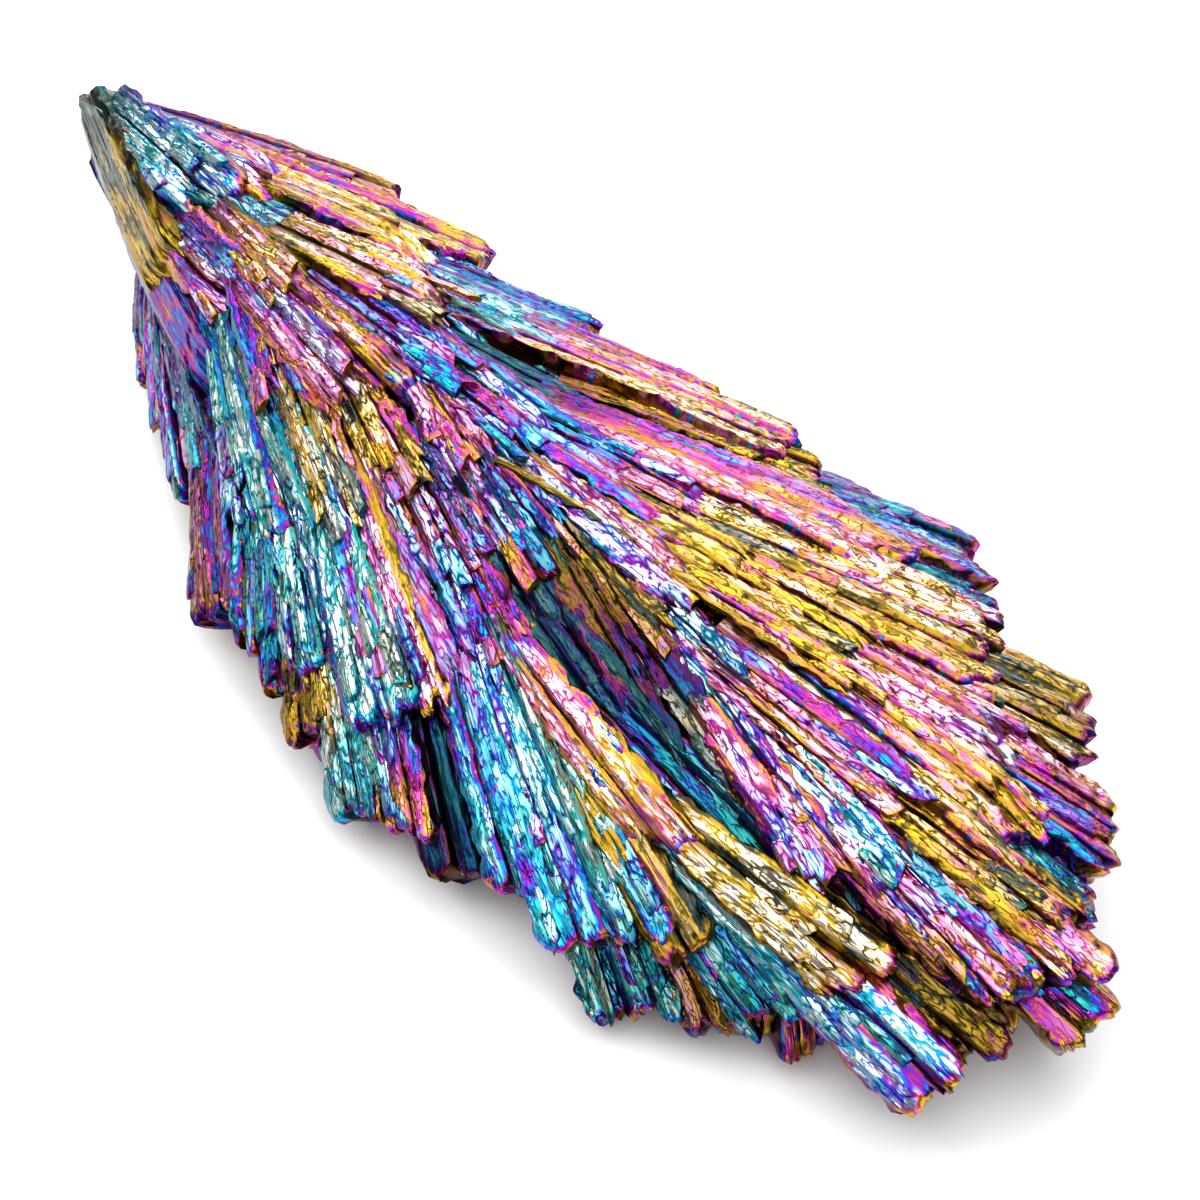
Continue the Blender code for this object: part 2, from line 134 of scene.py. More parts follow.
def laths(across, along, width, length, seed):
    """Thin laths side by side, each broken into runs along its length: relief, and a tone per run.

    across / width counts the laths. along / length, moved by each lath's own offset, counts its
    runs. A run has a height and a sideways tilt of its own, sunken edges (|t|^8) and a scarp at
    its end. The tone is the run's height, from -0.5 to 0.5.
    """
    lath = np.floor(across / width)
    t = 2 * (across / width - lath) - 1
    place = along / length + 7 * hashed(lath, 0 * lath, seed)
    run = np.floor(place)
    tone = hashed(lath, run, seed + 0.3) - 0.5
    tilt = hashed(lath, run, seed + 0.6) - 0.5
    return tone + 0.8 * tilt * t - 0.6 * np.abs(t) ** 8 - 0.5 * ease(0.92, 0.08, place - run), tone


def rim_y(x):
    """The rim's y at x, on the near side and on the far side."""
    return np.interp(x, RIM[:, 0], RIM[:, 1]), np.interp(x, RIM[:, 0], RIM[:, 2])


def surface_height(x, y):
    """Height of the blades' tops: an arched crest, less a rounded fall to the rim either side."""
    to_end = np.maximum(x - SUMMIT_X, 0.0) / 58.0
    to_tip = np.maximum(SUMMIT_X - x, 0.0) / 34.0
    top = SUMMIT - 6.5 * to_end**1.6 - 4.0 * to_tip**1.5
    near, far = rim_y(x)
    side = np.where(y > CREST_Y, far, near)
    rim_top = np.where(y > CREST_Y, FAR_TOP, NEAR_TOP)
    outwards = np.minimum((y - CREST_Y) / (side - CREST_Y), 1.3)
    return top - (top - rim_top) * outwards**1.7


def surface_normal(x, y):
    """Which way is up from the blades' tops, from the heights half a millimetre to each side."""
    slope_x = surface_height(x + 0.5, y) - surface_height(x - 0.5, y)
    slope_y = surface_height(x, y + 0.5) - surface_height(x, y - 0.5)
    return np.array([-slope_x, -slope_y, 1.0])


def spray_surface(
    root, tip, up, width, thick, blades, tint, lit, crinkle, seed, fine=1.0, sink=0.0
):
    """A spray as a closed grid: u runs from root to tip, v once around its section.

    The face is a row of blades. Each has a flat leaning top between two sloping sides, a ledge
    where its upper layer ends, and laths, threads and lumps over it. Walls lead down to a narrower
    flat back. Blades end at different u, rounded and ragged, and sink lowers the last 4 mm. Returns
    the grid, a point for either end, and the film's values at every point.
    """
    cell, row = 0.110, 0.26
    lath_wide, lath_long = 0.75, 4.4
    thread_wide, thread_long = 0.20, 2.6
    root_thick, back_share, rounded = 1.8, 0.72, 0.4
    insets = (0.18, 0.45, 0.92)
    draw = np.random.default_rng(seed)
    run = tip - root
    length = np.linalg.norm(run)
    along = unit(run)
    side = unit(np.cross(along, up))
    face = np.cross(side, along)
    outer = math.copysign(1.0, side[1] * (root[1] + tip[1] - 2 * CREST_Y))

    share = draw.uniform(0.6, 1.4, blades)
    borders = np.concatenate([[0.0], np.cumsum(share)]) / share.sum() * 2 - 1
    blade_mm = np.diff(borders) * width / 2
    lifts = draw.uniform(-0.15, 0.15, blades)
    leans = draw.uniform(-0.15, 0.15, blades)
    slopes = draw.uniform(0.05, 0.36, (2, blades))
    drops = slopes * blade_mm * draw.uniform(0.30, 0.95, (2, blades))
    reaches = 1 - 0.10 * draw.uniform(0, 1, blades)
    reaches -= 0.10 * (outer * (borders[:-1] + borders[1:]) / 2 + 1) / 2
    reaches /= reaches.max()
    ledges = draw.uniform(0.35, 0.95, blades)
    ledge_drops = draw.uniform(0.05, 0.32, blades)
    hue_shift = draw.normal(0.0, 0.045, blades)
    side_hue = draw.choice([-0.17, -0.12, -0.08, 0.10], (2, blades))
    side_hue = side_hue * (0.6 if TINTS[tint[1]][0] < 0.3 else 1.0)
    highlight_shift = draw.uniform(-0.40, 0.40, blades)
    lit_shift = draw.uniform(0.60, 1.08, blades)

    # v: across the face, down the right wall, along the back, up the left wall
    cells = max(6, round(width / blades / cell * fine))
    q = np.linspace(0.015, 0.985, cells)
    p = 0.55 * q + 0.45 * (0.5 - 0.5 * np.cos(np.pi * q))
    which = np.repeat(np.arange(blades), cells)
    p = np.tile(p, blades)
    off_middle = np.abs(2 * p - 1)
    across = borders[which] + p * (borders[which + 1] - borders[which])
    wall, flat = 4, 5
    down = np.linspace(0, 1, wall + 2)[1:-1]
    back = np.linspace(1, -1, flat)
    rows = int(length / row * fine) + 12
    U = np.linspace(0, 1, rows)[:, None] ** 0.92
    mm = U * length
    half = width / 2 * (0.60 + 0.46 * U)

    # the face
    rise, fall = slopes[0][which], slopes[1][which]
    up_side = np.clip(1 - p / rise, 0, 1)
    down_side = np.clip(1 - (1 - p) / fall, 0, 1)
    slope = ease(0.0, 0.25, up_side + down_side)
    height = lifts[which] + leans[which] * (2 * p - 1)
    height = height - drops[0][which] * up_side - drops[1][which] * down_side
    height = height - 0.07 * ease(0.90, 0.10, off_middle)
    torn = grain(p * 2.6, which * 7.0, seed) + 0.5 * grain(p * 7.0, which * 5.0, seed + 0.5)
    height = height - ledge_drops[which] * ease(ledges[which] + 0.05 * torn, 0.02, U)
    height = height * (0.5 + 0.5 * U)
    wide = across[None, :] * width / 2
    wander = 0.12 * grain(mm / 3.2, wide / 1.1, seed + 1)
    scales, tone = laths(wide + wander, mm, lath_wide, lath_long, seed + 2)
    threads, fine_tone = laths(wide + 1.5 * wander, mm, thread_wide, thread_long, seed + 3)
    lumps = grain(mm / 0.62, wide / 0.42, seed + 4)
    near_tip = ease(length - 2.2, 2.0, mm)
    rough = 0.13 * scales + 0.07 * threads + (0.04 + 0.10 * near_tip) * lumps
    height = height + rough * (0.25 + 0.75 * crinkle) * (1 - 0.7 * slope)
    splinter = hashed(np.floor(wide[0] / 0.5), 3.0, seed)
    splinter = splinter + 0.5 * hashed(np.floor(wide[0] / 0.23), 4.0, seed)
    reach = reaches[which] - 0.25 / length * off_middle**4 - 0.9 / length * np.abs(across) ** 10
    reach = reach + (0.7 + 0.5 * min(sink, 1.0)) / length * (splinter - 0.75)
    end = np.clip((mm - (length - rounded)) / rounded, 0, 1)
    height = height - 0.25 * (1 - np.sqrt(1 - end**2 * 0.98))
    height = height - sink * ease(length - 4.0, 4.4, mm)

    # walls and back
    deep = root_thick + (thick - root_thick) * U
    floor_reach = reaches.min() - 0.03

    def wall_points(top, sign, order):
        sunk = top + (-deep - top) * order[None, :]
        lean_in = 1 - 0.28 * np.clip((order[None, :] - 0.3) / 0.7, 0, 1)
        bumps = grain(mm / 0.9, order[None, :] * 3 + sign * 9, seed + 6) * 0.22
        return sign * half * lean_in + sign * bumps, sunk

    right_x, right_h = wall_points(height[:, -1:], 1.0, down)
    left_x, left_h = wall_points(height[:, :1], -1.0, down[::-1])
    back_x, back_h = back[None, :] * half * back_share, -deep + 0.0 * back[None, :]
    edge = (0.07 + 0.17 * np.abs(across) ** 10) * grain(mm / 0.8, across[None, :] * 2.0, seed + 7)
    x = np.hstack([across[None, :] * half + edge, right_x, back_x, left_x])
    h = np.hstack([height, right_h, back_h, left_h])
    to_right = reach[-1] + (floor_reach - reach[-1]) * down
    to_left = reach[0] + (floor_reach - reach[0]) * down[::-1]
    r = np.concatenate([reach, to_right, np.full(flat, floor_reach), to_left])
    bow = 0.25 * np.sin(np.pi * U)
    points = root + (mm * r)[..., None] * along + x[..., None] * side + (h + bow)[..., None] * face

    # the blunt end, drawn down to a line across the end of the back
    heart = root + run * floor_reach - face * (thick * 0.92)
    line = heart + (0.75 * x[-1])[:, None] * side
    rings = [points]
    count = np.arange(points.shape[1])
    for k, inset in enumerate(insets):
        pulled = points[-1] + (line - points[-1]) * inset
        bumps = grain(count * 0.7, k * 2.0 + 0 * count, seed + 8)
        rings.append((pulled + (0.16 * (1 - inset) + 0.12 * bumps)[:, None] * along)[None])
    grid = np.concatenate(rings)
    poles = np.array([points[0].mean(axis=0), heart])

    # the film: its place from root to tip, with its own shift on each blade, side and rim
    (hue_a, highlight_at_root), (hue_b, highlight_at_tip) = TINTS[tint[0]], TINTS[tint[1]]
    turn = U**1.2
    film = hue_a + (hue_b - hue_a) * turn + hue_shift[which] + 0.11 * tone + 0.07 * fine_tone
    on_up_side = side_hue[0][which] * ease(0, 0.3, up_side)
    film = film + (on_up_side + side_hue[1][which] * ease(0, 0.3, down_side))
    rim = ease(length - 0.7, 0.6, mm) + 0.6 * ease(0.90, 0.08, off_middle) * ease(0.5, 0.3, U)
    rim = np.clip(rim, 0, 1)
    film = film + np.where(film > 0.32, -0.24, 0.20) * rim
    film = film + 0.05 * grain(mm / 2.6, wide / 0.8, seed + 9)
    # Painted highlight: whitening on the blades' flat tops, none on the sloping sides and rims
    painted_highlight = highlight_at_root + (highlight_at_tip - highlight_at_root) * turn + highlight_shift[which] + 0.15 * tone
    painted_highlight = painted_highlight + 0.04 + 0.20 * grain(mm / 1.6, wide / 0.5, seed + 10)
    painted_highlight = painted_highlight * (1 - slope) * (1 - rim)
    # Painted light and shade (lit): darker on the sloping sides, in the seams between blades and
    # towards the hidden root
    seam = ease(0.88, 0.08, off_middle)
    painted_light = lit * lit_shift[which] * (1 - 0.50 * slope) * (1 - 0.94 * seam)
    painted_light = painted_light * (0.4 + 0.6 * ease(0.0, 0.35, U)) * (1 + 0.4 * tone)
    bead = 0.15 + 0.85 * ease(0.55, 0.35, off_middle) * ease(0.15, 0.3, U) + near_tip

    def around(face_values, wall_value, back_value):
        """One field for the whole grid: the face's values, and one each for walls and back."""
        face_values = np.broadcast_to(face_values, (rows, len(p)))
        walls, backs = np.full((rows, wall), wall_value), np.full((rows, flat), back_value)
        ring = np.hstack([face_values, walls, backs, walls])
        whole = np.vstack([ring, np.repeat(ring[-1:], len(insets), axis=0)])
        return np.concatenate([whole.ravel(), [whole[0].mean(), whole[-1].mean()]])

    # Walls and back: no painted highlight, and darker painted shade (0.28 of lit, and 0.15)
    fields = (
        around(film, film.mean() - 0.10, film.mean()),
        around(np.clip(painted_highlight, 0, 1), 0.05, 0.0),
        around(np.clip(painted_light, 0, 1), 0.28 * lit, 0.15),
        around(crinkle * (1 - 0.85 * slope), 0.3, 0.3),
        around(crinkle * np.clip(bead, 0, 1), 0.5, 0.3),
    )
    lath = np.stack([mm * r, x, np.full_like(x, seed * 3.7)], axis=-1)
    tail = np.repeat(lath[-1:], len(insets), axis=0)
    tail[..., 0] += 0.5 * np.arange(1, len(insets) + 1)[:, None]
    lath = np.concatenate([lath, tail]).reshape(-1, 3)
    return grid, poles, *fields, np.vstack([lath, lath[:1], lath[-1:]])


def lay_sprays(sprays, first_seed):
    """Each spray from its root to its tip, both a given depth below the crest's surface there.

    Away from the fan's tip, a root is tucked back below the blades before it by 0.18 of the run. A
    tip that ends on the fan, and not at its rim, sinks so that it meets the blades below it. A
    spray is its root and tip from above, the two depths, width, thickness, number of blades, tints
    at root and tip, how lit it is as painted light and shade, and how much it wrinkles.
    """
    tucked, most_sink = 0.18, 1.3
    surfaces = []
    for seed, spray in enumerate(sprays, first_seed):
        root, tip, depths, width, thick, blades, tint, lit, crinkle = spray
        start = np.array([*root, surface_height(*root) - depths[0]])
        end = np.array([*tip, surface_height(*tip) - depths[1]])
        start = start - tucked * ease(-40.0, 6.0, root[0]) * (end - start)
        x, y, _ = start * 0.35 + end * 0.65
        up = unit(surface_normal(x, y))
        near, far = rim_y(tip[0])
        outwards = (tip[1] - CREST_Y) / ((far if tip[1] > CREST_Y else near) - CREST_Y)
        sink = most_sink * (1 - ease(0.6, 0.25, outwards)) * (1 - ease(34.0, 5.0, tip[0]))
        size = width, thick, blades
        surfaces.append(spray_surface(start, end, up, *size, tint, lit, crinkle, seed, sink=sink))
    return surfaces


def scale_surface(start, along, face, length, width, thick, hue, painted_highlight, lit, seed):
    """A loose scale as a closed grid: 5 sections of 8 points along a slip of crystal.

    The section is a flat ridge with two bevelled sides over a narrow back. It widens quickly from
    the root and narrows to a blunt tip, and its root is sunk in the blades below.
    """
    draw = np.random.default_rng(seed)
    u = np.array([0.0, 0.14, 0.55, 0.90, 1.0])[:, None] + draw.uniform(-0.02, 0.02, (5, 8))
    broad = np.array([0.50, 0.88, 1.00, 0.97, 0.86])[:, None]
    section = np.array([-1.0, -0.74, -0.2, 0.35, 0.78, 1.0, 0.5, -0.5])
    section = section + draw.uniform(-0.08, 0.08, 8)
    height = np.array([-0.55, -0.05, 0.08, 0.06, -0.10, -0.55, -1.0, -1.0])
    height = height + draw.uniform(-0.06, 0.06, 8)
    lean = draw.uniform(-0.12, 0.12)
    sunk = np.array([-0.90, -0.30, 0.0, -0.02, -0.12])[:, None]
    side = np.cross(along, face)
    u = u + draw.uniform(-0.12, 0.12) * section * np.array([0.3, 0.3, 0.6, 1.0, 1.0])[:, None]
    x = section * broad * width / 2
    h = (height + sunk) * thick + lean * x / width * 2 * thick
    grid = start + (u * length)[..., None] * along + x[..., None] * side + h[..., None] * face
    poles = np.array([grid[0].mean(axis=0), grid[-1].mean(axis=0)])
    top = np.array([0, 1, 1, 1, 1, 0, 0, 0])[None, :] * np.array([0.4, 1, 1, 1, 0.2])[:, None]

    def with_poles(field):
        return np.concatenate([field.ravel(), [field[0].mean(), field[-1].mean()]])

    lath = np.stack([u * length + 0 * x, x, np.full_like(x, seed * 2.3)], -1).reshape(-1, 3)
    # Painted highlight and full painted light on the top facets; the sides are painted darker and
    # turned in hue
    return (
        grid,
        poles,
        with_poles(hue + (top - 1) * 0.14),
        with_poles(painted_highlight * top),
        with_poles(lit * (0.45 + 0.55 * top)),
        with_poles(0.2 + 0.8 * top),
        with_poles(0.4 + 0 * x),
        np.vstack([lath, lath[:1], lath[-1:]]),
    )


def lay_scales(sprays, each):
    """Loose scales at random places on each spray but the smooth and dark ones, fanned as it is."""
    # Dark sprays are those darkened with painted shade: lit under 0.4
    smooth, dark = 0.35, 0.4
    surfaces = []
    for seed, (root, tip, depths, width, _, _, tint, lit, crinkle) in enumerate(sprays):
        if crinkle < smooth or lit < dark:
            continue
        draw = np.random.default_rng(seed + 5000)
        start = np.array([*root, surface_height(*root) - depths[0]])
        run = np.array([*tip, surface_height(*tip) - depths[1]]) - start
        x, y, _ = start + run * 0.65
        side = unit(np.cross(unit(run), surface_normal(x, y)))
        (hue_a, highlight_at_root), (hue_b, highlight_at_tip) = TINTS[tint[0]], TINTS[tint[1]]
        for k in range(each):
            across, u = draw.uniform(-0.9, 0.9), draw.uniform(0.15, 0.66)
            long = min(draw.uniform(1.8, 6.0), np.linalg.norm(run) * (0.90 - u))
            heading = unit(run + side * width * (0.27 * across + draw.uniform(-0.10, 0.10)))
            face = np.cross(side, heading)
            lift = draw.uniform(-0.22, 0.02) + 0.25 * math.sin(math.pi * u)
            off = side * across * width / 2 * (0.45 + 0.55 * u)
            place = start + run * u + off + face * lift
            hue = hue_a + (hue_b - hue_a) * u + draw.normal(0.02, 0.10)
            painted_highlight = np.clip(highlight_at_root + (highlight_at_tip - highlight_at_root) * u + draw.uniform(-0.3, 0.25), 0, 1)
            # How lit the scale is: painted light and shade, a little random
            glow = lit * draw.uniform(0.75, 1.1)
            size = long, draw.uniform(0.5, 1.3), draw.uniform(0.30, 0.50)
            scale = scale_surface(place, heading, face, *size, hue, painted_highlight, glow, seed * 40 + k)
            surfaces.append(scale)
    return surfaces


def closed_grid_faces(rows, columns):
    """Quads over a grid that closes round its columns, and a fan of triangles at either end."""
    r, c = np.meshgrid(np.arange(rows - 1), np.arange(columns), indexing="ij")
    n = (c + 1) % columns
    here, ahead = r * columns, (r + 1) * columns
    quads = np.stack([here + c, here + n, ahead + n, ahead + c], -1)
    c = np.arange(columns)
    n = (c + 1) % columns
    last = (rows - 1) * columns
    near = np.stack([np.full(columns, rows * columns), n, c], -1)
    far = np.stack([np.full(columns, rows * columns + 1), last + c, last + n], -1)
    return quads.reshape(-1, 4), np.vstack([near, far])


# Values at each point: where its hue is on the film, its painted highlight (how far it is
# whitened), its painted light and shade (lit), and how much it wrinkles and how many beads and
# pits it has. "lath" holds mm along and across the blade.
FIELDS = ("film", "painted_highlight", "lit", "crinkle", "beads")


def iridescent_coat():
    """The film's material, over rough metal: hue by thickness, a painted highlight on crests, and
    painted shade in wrinkles.

    Round beads and pits lie between the wrinkles.
    """
    material = bpy.data.materials.new("iridescent_coat")
    material.use_nodes = True
    tree = material.node_tree
    shader = tree.nodes["Principled BSDF"]
    shader.inputs["Metallic"].default_value = 1.0
    shader.inputs["Coat Weight"].default_value = 0.15
    shader.inputs["Coat IOR"].default_value = 1.6
    shader.inputs["Coat Roughness"].default_value = 0.16

    def node(kind, **settings):
        made = tree.nodes.new(kind)
        for key, value in settings.items():
            setattr(made, key, value)
        return made

    def feed(made, **inputs):
        for key, value in inputs.items():
            socket = made.inputs[int(key[1:])] if key[1:].isdigit() else made.inputs[key]
            if isinstance(value, bpy.types.NodeSocket):
                tree.links.new(value, socket)
            else:
                socket.default_value = value
        return made.outputs[0]

    def calc(operation, *values):
        made = node("ShaderNodeMath", operation=operation)
        return feed(made, **{f"i{k}": value for k, value in enumerate(values)})

    def spread(value, low, high, to_low, to_high):
        return feed(node("ShaderNodeMapRange"), i0=value, i1=low, i2=high, i3=to_low, i4=to_high)

    def stretched(stretch):
        return feed(node("ShaderNodeVectorMath", operation="MULTIPLY"), i0=lath, i1=stretch)

    def noise(stretch, scale, detail):
        place = stretched(stretch)
        return feed(node("ShaderNodeTexNoise"), Vector=place, Scale=scale, Detail=detail)

    def attribute(name, output="Fac"):
        return node("ShaderNodeAttribute", attribute_name=name).outputs[output]

    film, painted_highlight, lit, crinkle, beads = (attribute(name) for name in FIELDS)
    lath = attribute("lath", "Vector")

    # Wrinkles: thin winding lines, where a noise drawn out along the blade crosses its middle
    coarse = calc("ABSOLUTE", calc("SUBTRACT", noise((0.30, 1.0, 1.0), 1.2, 2.0), 0.5))
    small = calc("ABSOLUTE", calc("SUBTRACT", noise((0.30, 1.0, 1.0), 3.0, 1.0), 0.5))
    from_line = calc("MINIMUM", coarse, calc("MULTIPLY", small, 1.2))
    clear = spread(from_line, 0.008, 0.036, 0.0, 1.0)
    broad_clear = spread(from_line, 0.018, 0.078, 0.0, 1.0)
    line = calc("MULTIPLY", calc("SUBTRACT", 1.0, clear), crinkle)
    # Fine threads of growth along the blade
    threads = noise((0.07, 1.0, 1.0), 5.0, 2.0)
    patches = noise((0.35, 1.0, 1.0), 0.8, 2.0)
    # Beads and pits: a round dot in each Voronoi cell, gold in half of them, of a turned hue in
    # some, and in the rest a pit dark with painted shade
    cells = node("ShaderNodeTexVoronoi")
    feed(cells, Vector=stretched((0.8, 1.0, 1.0)), Scale=2.6)
    dot = calc("MULTIPLY", spread(cells.outputs["Distance"], 0.22, 0.38, 1.0, 0.0), beads)
    chance = spread(cells.outputs["Color"], 0.48, 0.52, 0.0, 1.0)
    gold_dot = calc("MULTIPLY", dot, chance)
    other = spread(cells.outputs["Color"], 0.36, 0.40, 1.0, 0.0)
    turned_dot = calc("MULTIPLY", dot, other)
    pit = calc("MULTIPLY", dot, calc("SUBTRACT", 1.0, calc("MAXIMUM", chance, other)))

    folds = calc("MULTIPLY", calc("MINIMUM", from_line, 0.035), calc("MULTIPLY", crinkle, 20.0))
    raised = calc("ADD", folds, calc("SUBTRACT", gold_dot, pit))
    wrinkled = feed(node("ShaderNodeBump"), Height=raised, Distance=0.000045, Strength=0.8)
    threaded = node("ShaderNodeBump")
    threaded = feed(threaded, Height=threads, Distance=0.00009, Strength=0.6, Normal=wrinkled)
    tree.links.new(threaded, shader.inputs["Normal"])
    tree.links.new(threaded, shader.inputs["Coat Normal"])

    # Hue: the film's thickness, with the lie of each small facet, and thinner by the wrinkles
    lie = node("ShaderNodeVectorMath", operation="DOT_PRODUCT")
    feed(lie, i0=threaded, i1=(0.30, -0.70, 0.60))
    hue = calc("ADD", film, calc("MULTIPLY", lie.outputs["Value"], 0.17))
    hue = calc("ADD", hue, spread(patches, 0.3, 0.7, -0.09, 0.09))
    hue = calc("ADD", hue, spread(threads, 0.3, 0.7, -0.05, 0.05))
    hue = calc("SUBTRACT", hue, calc("MULTIPLY", calc("SUBTRACT", 1.0, broad_clear), 0.10))
    hue = calc("ADD", hue, calc("MULTIPLY", turned_dot, 0.35))
    hue = calc("FRACT", calc("SUBTRACT", hue, 0.03))
    hue = calc("ADD", hue, calc("MULTIPLY", gold_dot, calc("SUBTRACT", 0.19, hue)))
    ramp = node("ShaderNodeValToRGB")
    stops = ramp.color_ramp.elements
    stops[0].position, stops[1].position = 0.0, 1.0
    for _, place, _ in FILM_HUES[1:]:
        stops.new(place)
    for stop, (_, _, colour) in zip(stops, FILM_HUES + (FILM_HUES[0],)):
        stop.color = [*(c**2.2 for c in colour), 1.0]
    tree.links.new(hue, ramp.inputs[0])

    # Painted highlight: pale between the wrinkles of the bright crests. Painted shade: dark in
    # wrinkles, pits and gaps, by lit
    highlight_mix = node("ShaderNodeMix", data_type="RGBA")
    highlight_mix.inputs["B"].default_value = (0.92, 0.90, 0.87, 1.0)
    tree.links.new(calc("MULTIPLY", painted_highlight, calc("MULTIPLY", broad_clear, 0.84)), highlight_mix.inputs[0])
    tree.links.new(ramp.outputs[0], highlight_mix.inputs["A"])
    darken = node("ShaderNodeMix", data_type="RGBA")
    deep = feed(node("ShaderNodeVectorMath", operation="SCALE"), i0=ramp.outputs[0], Scale=0.07)
    tree.links.new(deep, darken.inputs["A"])
    dark = calc("MULTIPLY", calc("MAXIMUM", line, pit), 0.92)
    shade = calc("MULTIPLY", lit, calc("SUBTRACT", 1.0, dark))
    tree.links.new(shade, darken.inputs[0])
    tree.links.new(highlight_mix.outputs["Result"], darken.inputs["B"])
    tree.links.new(darken.outputs["Result"], shader.inputs["Base Color"])
    tree.links.new(spread(patches, 0.3, 0.7, 0.18, 0.36), shader.inputs["Roughness"])
    return material


coat = iridescent_coat()


def add_blades(name, surfaces, crisp=60):
    """One piece from many closed grids, each turned to face outwards, with the film's values and
    the painted highlight, light and shade.

    Edges sharper than crisp degrees stay sharp, and nothing goes below the table.
    """
    points, quads, fans, first = [], [], [], 0
    values = [[] for _ in (*FIELDS, "lath")]
    for grid, poles, *fields in surfaces:
        flat = np.vstack([grid.reshape(-1, 3), poles])
        four, three = closed_grid_faces(*grid.shape[:2])
        corners = np.vstack([four[:, [0, 1, 2]], four[:, [0, 2, 3]], three])
        a, b, c = (flat[corners[:, k]] - flat.mean(axis=0) for k in range(3))
        if np.einsum("ij,ij->i", a, np.cross(b, c)).sum() < 0:
            four, three = four[:, ::-1], three[:, ::-1]
        points.append(flat)
        quads.append(four + first)
        fans.append(three + first)
        for store, field in zip(values, fields):
            store.append(field)
        first += len(flat)
    points = np.vstack(points)
    points[:, 2] = np.maximum(points[:, 2], 0.0)
    quads, fans = np.vstack(quads), np.vstack(fans)
    mesh = bpy.data.meshes.new(name)
    mesh.vertices.add(len(points))
    mesh.vertices.foreach_set("co", (points * MM).astype(np.float32).ravel())
    mesh.loops.add(quads.size + fans.size)
    mesh.loops.foreach_set("vertex_index", np.concatenate([quads.ravel(), fans.ravel()]))
    mesh.polygons.add(len(quads) + len(fans))
    starts = np.concatenate([np.arange(len(quads)) * 4, quads.size + np.arange(len(fans)) * 3])
    mesh.polygons.foreach_set("loop_start", starts)
    mesh.polygons.foreach_set("use_smooth", np.ones(len(starts), bool))
    mesh.update(calc_edges=True)
    for label, store in zip(FIELDS, values):
        field = mesh.attributes.new(label, "FLOAT", "POINT")
        field.data.foreach_set("value", np.concatenate(store))
    lath = mesh.attributes.new("lath", "FLOAT_VECTOR", "POINT")
    lath.data.foreach_set("vector", np.vstack(values[-1]).ravel())
    mesh.set_sharp_from_angle(angle=math.radians(crisp))
    mesh.materials.append(coat)
    piece = bpy.data.objects.new(name, mesh)
    bpy.context.scene.collection.objects.link(piece)
    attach(piece, "root")
    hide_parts("kyanite_fan")


tip_sprays = (
    ((-45.0, 0.3), (-38.0, 0.6), (0.2, 0.6), 4.4, 4.4, 2, ("pewter", "pewter"), 0.9, 0.3),
    ((-44.2, 2.0), (-27.6, 10.6), (0.4, 0.0), 4.6, 4.0, 3, ("plum", "gold"), 0.85, 1.0),
    ((-43.0, 1.0), (-18.4, 11.2), (0.6, -0.4), 5.6, 4.2, 4, ("magenta", "gold"), 1.0, 0.9),
    ((-40.0, 0.0), (-17.4, 6.6), (0.8, -0.7), 5.0, 4.0, 3, ("rose", "cream"), 1.0, 0.7),
    ((-42.8, 0.4), (-27.0, 3.2), (0.4, -0.2), 4.4, 2.6, 2, ("ice", "lilac"), 1.0, 0.6),
    ((-43.0, -0.2), (-29.4, -2.0), (0.3, -0.5), 5.0, 2.8, 2, ("ice", "sky"), 1.0, 0.5),
    ((-38.0, -3.2), (-20.4, -9.4), (1.3, 0.5), 5.4, 3.0, 1, ("magenta", "plum"), 0.38, 0.1),
    ((-44.4, -0.9), (-28.6, -6.0), (1.0, 0.3), 5.4, 3.0, 1, ("pewter", "gold"), 0.55, 0.1),
    ((-33.0, -0.6), (-19.4, 0.4), (1.2, 0.7), 4.2, 3.0, 3, ("green", "azure"), 0.5, 1.0),
    ((-35.0, -2.8), (-22.6, -5.2), (0.8, 0.3), 5.2, 3.2, 3, ("magenta", "lilac"), 1.0, 0.8),
    ((-28.0, -2.2), (-19.0, -3.6), (0.6, 0.0), 3.6, 2.6, 2, ("pink", "cream"), 0.9, 0.9),
)
add_blades("tip_blades", lay_sprays(tip_sprays, 0))

# The near flank
# Short steep sprays down the -Y side below the tip: blue and violet round the upper pocket, then
# teal made pale by painted highlight, gold-brown and blue blades whose ragged ends make the
# fringe.

